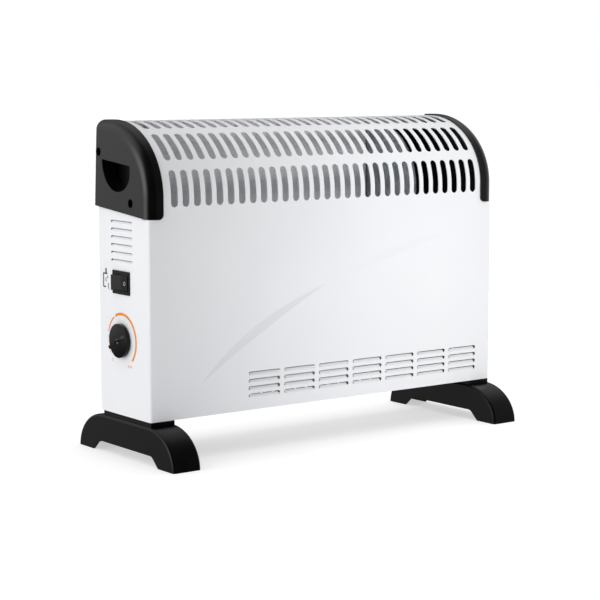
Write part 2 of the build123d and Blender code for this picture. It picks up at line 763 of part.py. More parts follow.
def fan_strap():
    """Steel strap across the chamber that the motor hangs from, with the upper bearing in it."""
    z_limits = (stator_z[1], stator_z[1] + 1.5)
    y_limits = (front + 7, rear - 6.2)
    strap = block((fan_x - 26, fan_x + 14), y_limits, z_limits)
    for y in ((y_limits[0], y_limits[0] + 1.5), (y_limits[1] - 1.5, y_limits[1])):
        strap += block((fan_x - 26, fan_x + 14), y, (z_limits[0], z_limits[0] + 14))
    strap -= rod_z(fan_x, 0, (z_limits[0] - 1, z_limits[1] + 1), 5)
    return strap - [rod_z(fan_x - 20, y, (z_limits[0] - 1, z_limits[1] + 1), screw_radius) for y in (-19, 19)]


def fan_screws():
    """Two long screws through the strap and the stator."""
    top = stator_z[1] + 1.5
    screws = []
    for y in (-19, 19):
        head = rod_z(fan_x - 20, y, (top, top + 2.4), 4)
        screws.append(head + rod_z(fan_x - 20, y, (stator_z[0], top), screw_radius - 0.1))
    return group(screws)


# ---------------------------------------------------------------- heating elements and wiring


def divider():
    """Sheet wall between the heating chamber and the fan chamber, open low down for the air."""
    wall = side_prism(casing_outline(2.2), (divider_x, divider_x + sheet))
    wall &= block((divider_x - 1, divider_x + 2), (front + 2, rear - 3), (casing_bottom + 1.2, 384))
    slots = [block((divider_x - 1, divider_x + 2), (y - 3, y + 3), (150, 205)) for y in range(-36, 37, 12)]
    return wall - slots


def rear_heat_shield():
    """Bright aluminised sheet that stands off the rear panel behind the outlet slots."""
    x_limits = (left + cap_inset + 3, divider_x - 1)
    shield = block(x_limits, (rear - 9, rear - 8.2), (130, 388))
    feet = [block(x_limits, (rear - 9, rear - 2.2), (z, z + 0.8)) for z in (130, 260, 387.2)]
    return shield + feet


def front_heat_shield():
    """Bright sheet that keeps the front panel cool, below the outlet slots."""
    x_limits = (left + cap_inset + 3, divider_x - 1)
    shield = block(x_limits, (front + 8, front + 8.8), (106, 292))
    feet = [block(x_limits, (front + sheet, front + 8.8), (z, z + 0.8)) for z in (106, 291.2)]
    return shield + feet


def element_frame():
    """Folded steel frame that holds the mica cards and the coils across the heating chamber."""
    x_limits = (left + 20, divider_x - 2)
    y_limits = (-40, 40)
    z_limits = (element_z - 14, element_z + 14)
    frame = block(x_limits, y_limits, z_limits)
    frame -= block((x_limits[0] + sheet, x_limits[1] - sheet), about(0, y_limits[1] - sheet), z_limits)
    legs = []
    for x in (x_limits[0], x_limits[1] - 14):
        for y in ((y_limits[0], y_limits[0] + sheet), (y_limits[1] - sheet, y_limits[1])):
            legs.append(block((x, x + 14), y, (casing_bottom + sheet, z_limits[0])))
    frame += legs
    holes = []
    for x in (x_limits[0] + sheet / 2, x_limits[1] - sheet / 2):
        holes += [rod_x((x - 2, x + 2), y, element_z, 4.1) for y in coil_ys]
    return frame - holes


def mica_x_positions():
    first = left + 20 + 62
    return [first + i * 64.5 for i in range(5)]


def mica_cards():
    """Mica cards across the frame, each with a notch hole for every coil."""
    cards = []
    for x in mica_x_positions():
        card = block((x - 0.5, x + 0.5), (-38.8, 38.8), (element_z - 13, element_z + 13))
        card -= [rod_x((x - 1, x + 1), y, element_z, coil_radius + 0.2) for y in coil_ys]
        cards.append(card)
    return group(cards)


def ceramic_bushes():
    """Ceramic bushes that carry the coil ends through the frame."""
    bushes = []
    for x, outward in ((left + 20, -1), (divider_x - 2, 1)):
        for y in coil_ys:
            limits = sorted((x + outward * 1.2, x - outward * 6))
            collar = sorted((x - outward * 1.1, x - outward * 6))
            bush = rod_x(limits, y, element_z, 4) + rod_x(collar, y, element_z, 6)
            bushes.append(bush - rod_x((x - 9, x + 9), y, element_z, 1.6))
    return group(bushes)


def heating_coils():
    """Three coiled resistance wires, each drawn as the tube that its turns fill."""
    x_limits = (left + 20 + 8, divider_x - 2 - 8)
    coils = []
    for y in coil_ys:
        coil = rod_x(x_limits, y, element_z, coil_radius)
        coils.append(coil - rod_x(x_limits, y, element_z, coil_radius - coil_wall))
    return group(coils)


def thermal_cutout():
    """Round bimetal cut-out on the front heat shield."""
    y = front + 8.8
    disc = rod_y(-20, (y, y + 9), 200, 8)
    disc += block((-32, -8), (y, y + 1), (196, 204))
    return disc


def terminal_block():
    """Three-way terminal block on the base panel, near where the cord comes in."""
    x_limits = (gland_x - 16, gland_x + 16)
    body = block(x_limits, (8, 26), (casing_bottom + sheet, casing_bottom + 16))
    body = fillet(body.edges().filter_by(Axis.Z), 1.5)
    for x in (gland_x - 10, gland_x, gland_x + 10):
        body -= rod_z(x, 13, (casing_bottom + 9, casing_bottom + 17), 2.2)
        body -= rod_z(x, 21, (casing_bottom + 9, casing_bottom + 17), 2.2)
        body -= rod_y(x, (7, 27), casing_bottom + 7, 1.6)
    return body


def cord_gland():
    """Moulded bush in the rear panel that the supply cord passes through."""
    bush = rod_y(gland_x, (rear - 10, rear + 5), gland_z, 7.0)
    bush = fillet(bush.edges().filter_by(GeomType.CIRCLE).sort_by(Axis.Y)[-1], 1.5)
    bush += rod_y(gland_x, (rear - 1, rear + 1.5), gland_z, 9.5)
    bush += rod_y(gland_x, (rear - 5, rear - 2.2), gland_z, 8.6)
    return bush - rod_y(gland_x, (rear - 11, rear + 6), gland_z, flex_bore)


parts = {
    "front_casing": front_casing,
    "rear_panel": rear_panel,
    "base_panel": base_panel,
    "left_end_cap": left_end_cap,
    "right_end_cap": lambda: other_side(left_end_cap()),
    "left_cap_bracket": left_cap_bracket,
    "right_cap_bracket": lambda: other_side(left_cap_bracket()),
    "end_cap_screws": end_cap_screws,
    "left_foot": left_foot,
    "right_foot": lambda: other_side(left_foot()),
    "foot_screws": foot_screws,
    "casing_screws": casing_screws,
    "switch_body": switch_body,
    "switch_rocker": switch_rocker,
    "switch_terminals": switch_terminals,
    "thermostat_knob": thermostat_knob,
    "thermostat_spindle": thermostat_spindle,
    "thermostat_body": thermostat_body,
    "thermostat_screws": thermostat_screws,
    "thermostat_terminals": thermostat_terminals,
    "fan_shroud": fan_shroud,
    "fan_duct": fan_duct,
    "fan_impeller": fan_impeller,
    "fan_shaft": fan_shaft,
    "fan_rotor": fan_rotor,
    "fan_stator": fan_stator,
    "fan_coil": fan_coil,
    "fan_bearings": fan_bearings,
    "fan_bridge": fan_bridge,
    "fan_strap": fan_strap,
    "fan_screws": fan_screws,
    "divider": divider,
    "rear_heat_shield": rear_heat_shield,
    "front_heat_shield": front_heat_shield,
    "element_frame": element_frame,
    "mica_cards": mica_cards,
    "ceramic_bushes": ceramic_bushes,
    "heating_coils": heating_coils,
    "thermal_cutout": thermal_cutout,
    "terminal_block": terminal_block,
    "cord_gland": cord_gland,
}

os.makedirs("parts", exist_ok=True)
for name, make in parts.items():
    export_step(make(), f"parts/{name}.step")
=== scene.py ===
import json
from math import cos, pi, radians, sin, tau

import bpy
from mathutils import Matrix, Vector


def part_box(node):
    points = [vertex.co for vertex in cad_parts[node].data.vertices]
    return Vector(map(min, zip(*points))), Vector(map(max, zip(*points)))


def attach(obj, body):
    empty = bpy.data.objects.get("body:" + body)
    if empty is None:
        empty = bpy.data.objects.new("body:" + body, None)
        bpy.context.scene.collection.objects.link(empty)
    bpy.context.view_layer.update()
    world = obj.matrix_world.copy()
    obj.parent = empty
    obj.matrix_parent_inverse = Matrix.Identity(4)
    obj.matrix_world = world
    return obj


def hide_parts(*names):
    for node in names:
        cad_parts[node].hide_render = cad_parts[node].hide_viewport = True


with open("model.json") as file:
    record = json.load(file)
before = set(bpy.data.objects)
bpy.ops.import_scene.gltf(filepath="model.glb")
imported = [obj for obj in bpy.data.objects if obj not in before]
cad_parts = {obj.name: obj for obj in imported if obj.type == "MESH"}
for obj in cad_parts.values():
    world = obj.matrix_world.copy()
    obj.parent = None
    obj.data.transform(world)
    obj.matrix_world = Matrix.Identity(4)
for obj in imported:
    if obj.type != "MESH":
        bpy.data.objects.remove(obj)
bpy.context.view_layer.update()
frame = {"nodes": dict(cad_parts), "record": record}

# ---------------------------------------------------------------- camera
# Seen from the front left and a little above through a long lens, so that both ends of the casing
# look nearly the same height. It aims a little below and left of the front panel's middle.

aim = Vector((-0.0446, -0.056, 0.1794))
azimuth = radians(-36.64)
elevation = radians(7.15)
camera_distance = 2.231
away = Vector((sin(azimuth) * cos(elevation), -cos(azimuth) * cos(elevation), sin(elevation)))
camera_data = bpy.data.cameras.new("camera")
camera_data.lens = 109.3
camera = bpy.data.objects.new("camera", camera_data)
bpy.context.collection.objects.link(camera)
camera.location = aim + away * camera_distance
camera.rotation_mode = "QUATERNION"
camera.rotation_quaternion = (-away).to_track_quat("-Z", "Y")
bpy.context.scene.camera = camera

# ---------------------------------------------------------------- studio
# A white product studio: pale floor, white backdrop, an overhead light for the soft shadow under the
# feet, a soft spot on the right of the front panel, and a fill that is strongest from the left. Gloss
# sees a bright left wall, dimmer ones above and at the right, and near darkness elsewhere.


def colour(code):
    """An sRGB hex colour as linear red, green, blue and alpha."""
    parts = [int(code[i : i + 2], 16) / 255 for i in (1, 3, 5)]
    return tuple(p / 12.92 if p <= 0.04045 else ((p + 0.055) / 1.055) ** 2.4 for p in parts) + (1.0,)


def add(tree, kind, inputs=None, stops=None, **settings):
    """Adds a node: settings on the node, (node, output) inputs as links, the rest on the sockets.
    Stops are a colour ramp's (position, hex colour) pairs."""
    made = tree.nodes.new(kind)
    for key, value in settings.items():
        setattr(made, key, value)
    for key, value in (inputs or {}).items():
        if isinstance(value, tuple) and isinstance(value[0], bpy.types.Node):
            tree.links.new(value[0].outputs[value[1]], made.inputs[key])
        else:
            made.inputs[key].default_value = value
    if stops:
        ramp = made.color_ramp.elements
        while len(ramp) < len(stops):
            ramp.new(1.0)
        for element, (position, code) in zip(ramp, stops):
            element.position = position
            element.color = colour(code)
    return made


def material(name, **shader_inputs):
    """A new material: the material, its node tree, its shader and its object coordinates."""
    made = bpy.data.materials.new(name)
    made.use_nodes = True
    tree = made.node_tree
    tree.nodes.clear()
    values = {key.replace("_", " "): value for key, value in shader_inputs.items()}
    shader = add(tree, "ShaderNodeBsdfPrincipled", values)
    add(tree, "ShaderNodeOutputMaterial", {"Surface": (shader, "BSDF")})
    place = add(tree, "ShaderNodeTexCoord")
    return made, tree, shader, place


bpy.context.scene.view_settings.view_transform = "Standard"

world = bpy.data.worlds.new("white_studio")
world.use_nodes = True
bpy.context.scene.world = world
sky = world.node_tree
sky.nodes.clear()
white = colour("#ffffff")
heading = add(sky, "ShaderNodeTexCoord")
parts = add(sky, "ShaderNodeSeparateXYZ", {"Vector": (heading, "Generated")})


def ramp(source, low, high, value_low, value_high):
    """How strong the sky is between two values of one part of its direction."""
    values = {"From Min": low, "From Max": high, "To Min": value_low, "To Max": value_high}
    values["Value"] = (parts, source)
    return add(sky, "ShaderNodeMapRange", values, interpolation_type="SMOOTHSTEP")


def join(a, b, operation="MULTIPLY"):
    """Two strengths multiplied, or joined by another operation."""
    return add(sky, "ShaderNodeMath", {0: (a, 0), 1: (b, 0)}, operation=operation)


front_to_back = join(ramp("Y", -0.85, 0.1, 0.18, 1.0), ramp("Z", 0.2, 1.0, 1.0, 0.75))
to_sides = join(ramp("X", -0.9, -0.1, 1.75, 1.0), ramp("Y", 0.1, 0.9, 1.0, 0.55))
fill_strength = join(front_to_back, to_sides)
fill = add(sky, "ShaderNodeBackground", {"Color": white, "Strength": (fill_strength, 0)})
left_wall = join(ramp("X", -0.45, 0.1, 0.7, 0.0), ramp("Y", -0.4, 0.0, 0.0, 1.0))
edge_light = join(left_wall, ramp("X", -0.98, -0.66, 4.6, 1.0))
above_floor = join(edge_light, ramp("Z", -0.26, 0.0, 0.05, 1.0))
ceiling = join(ramp("Z", 0.25, 0.7, 0.1, 0.45), ramp("Y", -0.3, 0.3, 0.0, 1.0))
right_wall = join(ramp("X", 0.62, 0.8, 0.0, 0.75), ramp("Y", -0.9, -0.7, 0.0, 1.0))
left_and_above = join(above_floor, ceiling, "ADD")
gloss_strength = join(left_and_above, right_wall, "ADD")
gloss_wall = add(sky, "ShaderNodeBackground", {"Color": white, "Strength": (gloss_strength, "Value")})
backdrop = add(sky, "ShaderNodeBackground", {"Color": white, "Strength": 1.0})
path = add(sky, "ShaderNodeLightPath")
lighting = {0: (path, "Is Glossy Ray"), 1: (fill, "Background"), 2: (gloss_wall, "Background")}
lit = add(sky, "ShaderNodeMixShader", lighting)
looking = {0: (path, "Is Camera Ray"), 1: (lit, "Shader"), 2: (backdrop, "Background")}
seen = add(sky, "ShaderNodeMixShader", looking)
add(sky, "ShaderNodeOutputWorld", {"Surface": (seen, "Shader")})


def lamp(name, kind, place, aimed_at, **settings):
    """A lamp that lights surfaces but leaves no reflection of its own."""
    data = bpy.data.lights.new(name, kind)
    for key, value in settings.items():
        setattr(data, key, value)
    made = bpy.data.objects.new(name, data)
    bpy.context.collection.objects.link(made)
    made.location = place
    made.rotation_mode = "QUATERNION"
    made.rotation_quaternion = (Vector(aimed_at) - Vector(place)).to_track_quat("-Z", "Y")
    made.visible_glossy = False
    return made


lamp("overhead", "SUN", (0, 0, 3), (0.15, 0.1, 0), energy=0.75, angle=radians(80))
soft_cone = {"energy": 33, "spot_size": radians(34.3), "spot_blend": 1.0, "shadow_soft_size": 0.15}
lamp("front_right", "SPOT", (0.25, -1.28, 0.8), (0.17, -0.056, 0.19), **soft_cone)

floor_reach = 14.0
corners = [(floor_reach * x, floor_reach * y, 0) for x, y in ((-1, -1), (1, -1), (1, 1), (-1, 1))]
floor_mesh = bpy.data.meshes.new("floor")
floor_mesh.from_pydata(corners, [], [(0, 1, 2, 3)])
floor = bpy.data.objects.new("floor", floor_mesh)
bpy.context.collection.objects.link(floor)
# Matt vinyl that also glows, so that it stays white up to the horizon and its shadows stay pale.
glow = {"Emission_Color": white, "Emission_Strength": 0.54}
floor_vinyl = material("matt_white_vinyl_floor", Base_Color=colour("#c8c8c9"), Roughness=0.9, **glow)[0]
floor_mesh.materials.append(floor_vinyl)
floor.visible_glossy = False

# ---------------------------------------------------------------- casing and rear panel
# The front, sides and rolled top are one folded sheet of 1 mm steel, and the rear is a flat sheet
# screwed inside its flanges. Both are powder coated white after punching, so every cut edge is coated.

MM = 0.001
nodes = frame["nodes"]


def finish(made, *names):
    """Gives CAD nodes a material."""
    for name in names:
        slots = nodes[name].data.materials
        slots.clear()
        slots.append(made)


# Baked polyester powder: a soft satin sheen over a fine orange peel about 1.5 mm across, and a tint
# that drifts very slightly over the panel.
powder_look = {"Roughness": 0.4, "Coat_Weight": 0.12, "Coat_Roughness": 0.22}
powder_coat, tree, shader, place = material("white_powder_coat_satin", **powder_look)
drift = add(tree, "ShaderNodeTexNoise", {"Vector": (place, "Object"), "Scale": 5.0, "Detail": 2.0})
tint = add(
    tree, "ShaderNodeValToRGB", {"Fac": (drift, "Fac")}, stops=[(0.3, "#e9eaed"), (0.7, "#eeeff1")]
)
tree.links.new(tint.outputs["Color"], shader.inputs["Base Color"])
peel_look = {"Vector": (place, "Object"), "Scale": 1 / (1.5 * MM), "Detail": 1.0}
peel = add(tree, "ShaderNodeTexNoise", peel_look)
peel_depth = {"Height": (peel, "Fac"), "Strength": 0.06, "Distance": 0.3 * MM}
peel_bump = add(tree, "ShaderNodeBump", peel_depth)
tree.links.new(peel_bump.outputs["Normal"], shader.inputs["Normal"])
finish(powder_coat, "front_casing", "rear_panel")

# ---------------------------------------------------------------- end caps, feet and cord bush
# Injection moulded black polypropylene. The moulds are spark eroded, which leaves a fine matt grain
# on every face that shows. The caps and feet are screwed on, and the bush snaps into the rear panel.

# Grained polypropylene: near black, a satin sheen broken up by grain 0.5 mm across, drawn at 0.9 mm
# because finer grain blurs away.
grained_pp, tree, shader, place = material("black_polypropylene_spark_grain", IOR=1.49)
mottle = add(tree, "ShaderNodeTexNoise", {"Vector": (place, "Object"), "Scale": 60.0, "Detail": 3.0})
tint = add(
    tree, "ShaderNodeValToRGB", {"Fac": (mottle, "Fac")}, stops=[(0.35, "#060607"), (0.65, "#090909")]
)
tree.links.new(tint.outputs["Color"], shader.inputs["Base Color"])
sheen = add(tree, "ShaderNodeMapRange", {"Value": (mottle, "Fac"), "To Min": 0.26, "To Max": 0.34})
tree.links.new(sheen.outputs["Result"], shader.inputs["Roughness"])
grain = add(tree, "ShaderNodeTexVoronoi", {"Vector": (place, "Object"), "Scale": 1 / (0.9 * MM)})
grain_depth = {"Height": (grain, "Distance"), "Strength": 0.07, "Distance": 0.2 * MM}
grain_bump = add(tree, "ShaderNodeBump", grain_depth)
tree.links.new(grain_bump.outputs["Normal"], shader.inputs["Normal"])
finish(grained_pp, "left_end_cap", "right_end_cap", "cord_gland")

# The feet: the same polypropylene with half the sheen. The halved sheen is painted shade, standing in
# for the shaded floor that the feet reflect.
foot_pp = grained_pp.copy()
foot_pp.name = "black_polypropylene_with_painted_shade"
foot_shader = foot_pp.node_tree.nodes[shader.name]
# Painted shade: half the sheen keeps the feet dark, as if beside a shaded floor.
foot_shader.inputs["Specular IOR Level"].default_value = 0.25
finish(foot_pp, "left_foot", "right_foot")

# ---------------------------------------------------------------- switch and thermostat knob
# The rocker, its housing and the thermostat knob are moulded in black ABS from polished moulds. The
# switch snaps into the left wing, and the knob pushes onto the thermostat's spindle below it.

# Polished ABS: deep black and glossy, with faint handling haze. Its reflections are held to less than
# half of what the plastic's IOR gives, so that it stays black.
abs_look = {"Base_Color": colour("#050506"), "IOR": 1.5, "Specular_IOR_Level": 0.22}
gloss_abs, tree, shader, place = material("black_abs_polished", **abs_look)
haze = add(tree, "ShaderNodeTexNoise", {"Vector": (place, "Object"), "Scale": 220.0, "Detail": 4.0})
smear = add(tree, "ShaderNodeMapRange", {"Value": (haze, "Fac"), "To Min": 0.12, "To Max": 0.26})
tree.links.new(smear.outputs["Result"], shader.inputs["Roughness"])
sink = add(tree, "ShaderNodeBump", {"Height": (haze, "Fac"), "Strength": 0.02, "Distance": 0.2 * MM})
tree.links.new(sink.outputs["Normal"], shader.inputs["Normal"])
finish(gloss_abs, "switch_body", "switch_rocker", "thermostat_knob")

# ---------------------------------------------------------------- printed marks
# Screen printed on the left wing and the front panel, and hot stamped on the rocker: a film of ink
# a few hundredths of a millimetre thick. They're plain symbols: a ring that widens with the heat,
# settings beside the switch, and a pale sweep across the front. Points and widths are millimetres.

INK = 0.05 * MM


def print_strokes(name, strokes, plane, body, ink):
    """Ink strokes as thin solid strips. A stroke is its points, its widths, and whether it closes.
    The plane is an origin, the two directions across it, and the way out of it."""
    origin, across, up, out = plane
    points, faces = [], []
    for line, widths, closed in strokes:
        count, base = len(line), len(points)
        for i, (u, v) in enumerate(line):
            before = line[i - 1] if i or closed else line[i]
            after = line[(i + 1) % count] if closed or i + 1 < count else line[i]
            along = Vector((after[0] - before[0], after[1] - before[1])).normalized()
            half = widths[i] / 2
            for side, lift in ((-1, 0), (1, 0), (1, INK), (-1, INK)):
                at_u = (u - along.y * half * side) * MM
                at_v = (v + along.x * half * side) * MM
                points.append(origin + across * at_u + up * at_v + out * lift)
        for i in range(count if closed else count - 1):
            here, there = base + 4 * i, base + 4 * ((i + 1) % count)
            for k in range(4):
                faces.append((here + k, here + (k + 1) % 4, there + (k + 1) % 4, there + k))
        if not closed:
            end = base + 4 * (count - 1)
            faces += [(base + 3, base + 2, base + 1, base), (end, end + 1, end + 2, end + 3)]
    mesh = bpy.data.meshes.new(name)
    mesh.from_pydata(points, [], faces)
    mesh.materials.append(ink)
    made = bpy.data.objects.new(name, mesh)
    bpy.context.collection.objects.link(made)
    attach(made, body)
    return made


def arc(centre, radius, start, end, width, steps=48):
    """A round stroke from one angle to another, in degrees anticlockwise from across."""
    angles = [radians(start + (end - start) * i / steps) for i in range(steps + 1)]
    line = [(centre[0] + radius * cos(a), centre[1] + radius * sin(a)) for a in angles]
    return line, [width] * len(line), False


def ring(centre, radius, width, steps=32):
    line, widths, closed = arc(centre, radius, 0, 360 - 360 / steps, width, steps - 1)
    return line, widths, True


def dash(start, end, width):
    return [start, end], [width, width], False


def ink_material(name, code_low, code_high):
    """Screen ink: flat and slightly uneven, as the mesh of the screen leaves it."""
    made, tree, shader, place = material(name, Roughness=0.5)
    screen_mesh = {"Vector": (place, "Object"), "Scale": 1 / (0.8 * MM), "Detail": 2.0}
    uneven = add(tree, "ShaderNodeTexNoise", screen_mesh)
    stops = [(0.35, code_low), (0.65, code_high)]
    tint = add(tree, "ShaderNodeValToRGB", {"Fac": (uneven, "Fac")}, stops)
    tree.links.new(tint.outputs["Color"], shader.inputs["Base Color"])
    return made


orange_ink = ink_material("orange_screen_ink", "#e68222", "#ee9238")
faded_ink = ink_material("orange_screen_ink_thin", "#dba07a", "#e4b292")
grey_ink = ink_material("dark_grey_screen_ink", "#303032", "#414144")
foil = ink_material("light_grey_stamping_foil", "#b9bcc0", "#cdd0d3")
pale_ink = ink_material("pale_grey_screen_ink", "#e0e1e5", "#e2e3e7")
paler_ink = ink_material("paler_grey_screen_ink", "#e9eaed", "#eaebee")

joints = {joint["name"]: joint for joint in frame["record"]["behaviour"]["joints"]}
wing_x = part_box("front_casing")[0].x
knob_y, knob_z = joints["thermostat_turn"]["pos_m"][1:]
out_left = Vector((-1, 0, 0))
forwards = Vector((0, -1, 0))
upwards = Vector((0, 0, 1))
around_knob = (Vector((wing_x, knob_y, knob_z)), forwards, upwards, out_left)
ring_radius = 31.5
hot = arc((0, 0), ring_radius, 117.5, -44.5, 3.3, 72)
warm = arc((0, 0), ring_radius, 166.5, 123.7, 2.2, 32)
print_strokes("heat_ring", [hot, warm], around_knob, "casing", orange_ink)
cold = arc((0, 0), ring_radius, 213.8, 197.5, 1.2, 16)
dot_angle = radians(176.3)
start_dot = ring((ring_radius * cos(dot_angle), ring_radius * sin(dot_angle)), 0.5, 1.0, 12)
low_mark = [dash((-23.6, -24.0), (-20.2, -24.6), 1.1), dash((-23.4, -26.2), (-20.4, -26.6), 1.1)]
high_mark = [dash((u, -29.2), (u + 1.9, -29.4), 3.0) for u in (13.2, 16.4, 19.4)]
heat_marks = [cold, start_dot] + low_mark + high_mark
print_strokes("heat_marks", heat_marks, around_knob, "casing", faded_ink)

switch_x, switch_y, switch_z = joints["switch_rock"]["pos_m"]
beside_switch = (Vector((wing_x, switch_y, switch_z)), forwards, upwards, out_left)
bracket = [
    dash((-32.5, 8.0), (-41.0, 8.0), 1.7),
    dash((-41.6, 8.6), (-41.6, -8.6), 2.1),
    dash((-41.0, -8.0), (-36.0, -8.0), 1.7),
]
fan_symbol = [ring((-35.6, 12.6), 1.2, 1.5, 16), ring((-35.6, 9.4), 1.2, 1.5, 16)]
flame_line = [(-31.4, -3.2), (-29.8, -5.0), (-31.2, -7.0), (-29.4, -9.0), (-29.4, -11.0)]
flame = [(flame_line, [1.5] * len(flame_line), False)]
heat_symbol = [ring((-35.6, 0.8), 1.9, 0.8, 16), dash((-33.0, 5.2), (-30.6, 3.2), 1.6)]
switch_symbols = bracket + fan_symbol + flame + heat_symbol
print_strokes("switch_symbols", switch_symbols, beside_switch, "casing", grey_ink)

front_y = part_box("front_casing")[0].y
on_front = (Vector((wing_x, front_y, 0)), Vector((1, 0, 0)), upwards, forwards)


def bezier(a, b, c, t):
    """A point on the curve that leaves a and reaches c, pulled towards b."""
    weights = ((1 - t) ** 2, 2 * t * (1 - t), t**2)
    return tuple(sum(w * part for w, part in zip(weights, parts)) for parts in zip(a, b, c))


sweep_start = (71, 90)
sweep_pull = (205, 205)
sweep_end = (456, 251)


def sweep(start, end, widest):
    """A stroke along the curve between two of its fractions, tapered to a point at both ends."""
    steps = 48
    fractions = [start + (end - start) * i / steps for i in range(steps + 1)]
    line = [bezier(sweep_start, sweep_pull, sweep_end, t) for t in fractions]
    return line, [0.15 + widest * sin(pi * i / steps) for i in range(steps + 1)], False


print_strokes("front_sweep_lower", [sweep(0.0, 0.56, 11.5)], on_front, "casing", pale_ink)
print_strokes("front_sweep_upper", [sweep(0.57, 1.0, 12.5)], on_front, "casing", paler_ink)

# ---------------------------------------------------------------- bright heat shields
# Two sheets of rolled aluminised steel, one behind the outlet slots and one behind the front panel,
# that throw the heat up and out. They hang on folded feet spot welded to the panels.

# Aluminised steel: bright, with fine rolling streaks along the sheet and slow waves. Metallic is 0.2
# instead of a metal's 1, so that the sheet looks pale through the slots.
aluminised, tree, shader, place = material("aluminised_steel_rolled", Metallic=0.2)
stretch = add(tree, "ShaderNodeMapping", {"Vector": (place, "Object"), "Scale": (6.0, 500.0, 500.0)})
streaks = add(tree, "ShaderNodeTexNoise", {"Vector": (stretch, "Vector"), "Scale": 1.0, "Detail": 3.0})
tint = add(
    tree, "ShaderNodeValToRGB", {"Fac": (streaks, "Fac")}, stops=[(0.3, "#eaecf0"), (0.7, "#fafbfc")]
)
tree.links.new(tint.outputs["Color"], shader.inputs["Base Color"])
polish = add(tree, "ShaderNodeMapRange", {"Value": (streaks, "Fac"), "To Min": 0.3, "To Max": 0.45})
tree.links.new(polish.outputs["Result"], shader.inputs["Roughness"])
waves = add(tree, "ShaderNodeTexNoise", {"Vector": (place, "Object"), "Scale": 18.0, "Detail": 1.0})
wave_bump = add(tree, "ShaderNodeBump", {"Height": (waves, "Fac"), "Strength": 0.5, "Distance": 4 * MM})
tree.links.new(wave_bump.outputs["Normal"], shader.inputs["Normal"])
finish(aluminised, "rear_heat_shield", "front_heat_shield")

# ---------------------------------------------------------------- galvanised frames, base and brackets
# Hot dip galvanised sheet, cut, folded and left bare: the base tray, the end plates, the wall beside
# the fan, the coil frame and the motor's straps.

# Galvanised steel: grey zinc in flat crystals about 6 mm across, each turned a little differently.
galvanised, tree, shader, place = material("galvanised_steel_spangled", Metallic=1.0)
spangle = add(tree, "ShaderNodeTexVoronoi", {"Vector": (place, "Object"), "Scale": 1 / (6 * MM)})
crystal = add(tree, "ShaderNodeSeparateColor", {"Color": (spangle, "Color")})
tint = add(
    tree, "ShaderNodeValToRGB", {"Fac": (crystal, "Red")}, stops=[(0.0, "#a3a8ad"), (1.0, "#c9cdd1")]
)
tree.links.new(tint.outputs["Color"], shader.inputs["Base Color"])
dullness = add(tree, "ShaderNodeMapRange", {"Value": (crystal, "Green"), "To Min": 0.34, "To Max": 0.56})
tree.links.new(dullness.outputs["Result"], shader.inputs["Roughness"])
finish(
    galvanised,
    "base_panel",
    "left_cap_bracket",
    "right_cap_bracket",
    "divider",
    "element_frame",
    "fan_bridge",
    "fan_strap",
)

# ---------------------------------------------------------------- screws, spindle and shaft
# Turned and cold headed steel: zinc plated where it shows pale, blacked down the cap's deep holes.

# Bright zinc plate: cool grey, with an uneven film left by handling.
zinc, tree, shader, place = material("zinc_plated_steel_turned", Metallic=1.0)
film = add(tree, "ShaderNodeTexNoise", {"Vector": (place, "Object"), "Scale": 400.0, "Detail": 3.0})
tint = add(
    tree, "ShaderNodeValToRGB", {"Fac": (film, "Fac")}, stops=[(0.3, "#b3b7bb"), (0.7, "#d3d6d8")]
)
tree.links.new(tint.outputs["Color"], shader.inputs["Base Color"])
polish = add(tree, "ShaderNodeMapRange", {"Value": (film, "Fac"), "To Min": 0.22, "To Max": 0.4})
tree.links.new(polish.outputs["Result"], shader.inputs["Roughness"])
finish(zinc, "foot_screws", "casing_screws", "thermostat_screws", "fan_screws")
finish(zinc, "thermostat_spindle", "fan_shaft")

# Blacked steel: oil black, with brown showing thinly where the finish is worn.
blacked, tree, shader, place = material("black_oxide_steel", Metallic=1.0, Roughness=0.45)
wear = add(tree, "ShaderNodeTexNoise", {"Vector": (place, "Object"), "Scale": 500.0, "Detail": 3.0})
tint = add(
    tree, "ShaderNodeValToRGB", {"Fac": (wear, "Fac")}, stops=[(0.4, "#141414"), (0.8, "#2b2622")]
)
tree.links.new(tint.outputs["Color"], shader.inputs["Base Color"])
finish(blacked, "end_cap_screws")

# ---------------------------------------------------------------- brass blades and bronze bushes
# Stamped brass blades that the push-on connectors grip, and sintered bronze bearings soaked in oil.

# Brass strip: warm yellow with thin tarnish.
brass, tree, shader, place = material("brass_strip_tarnished", Metallic=1.0, Roughness=0.32)
tarnish = add(tree, "ShaderNodeTexNoise", {"Vector": (place, "Object"), "Scale": 300.0, "Detail": 4.0})
tint = add(
    tree, "ShaderNodeValToRGB", {"Fac": (tarnish, "Fac")}, stops=[(0.3, "#b08a45"), (0.7, "#dcb968")]
)
tree.links.new(tint.outputs["Color"], shader.inputs["Base Color"])
finish(brass, "switch_terminals", "thermostat_terminals")

# Sintered bronze: dull brown red, open pored, grains about 0.3 mm.
bronze, tree, shader, place = material("sintered_bronze_oiled", Metallic=1.0, Roughness=0.5)
pores = add(tree, "ShaderNodeTexVoronoi", {"Vector": (place, "Object"), "Scale": 1 / (0.3 * MM)})
tint = add(
    tree, "ShaderNodeValToRGB", {"Fac": (pores, "Distance")}, stops=[(0.2, "#7a4f2c"), (0.7, "#b98552")]
)
tree.links.new(tint.outputs["Color"], shader.inputs["Base Color"])
finish(bronze, "fan_bearings")

# ---------------------------------------------------------------- thermostat body and thermal cut-out
# Pressed from wood filled phenolic resin, which stands the heat of the contacts.

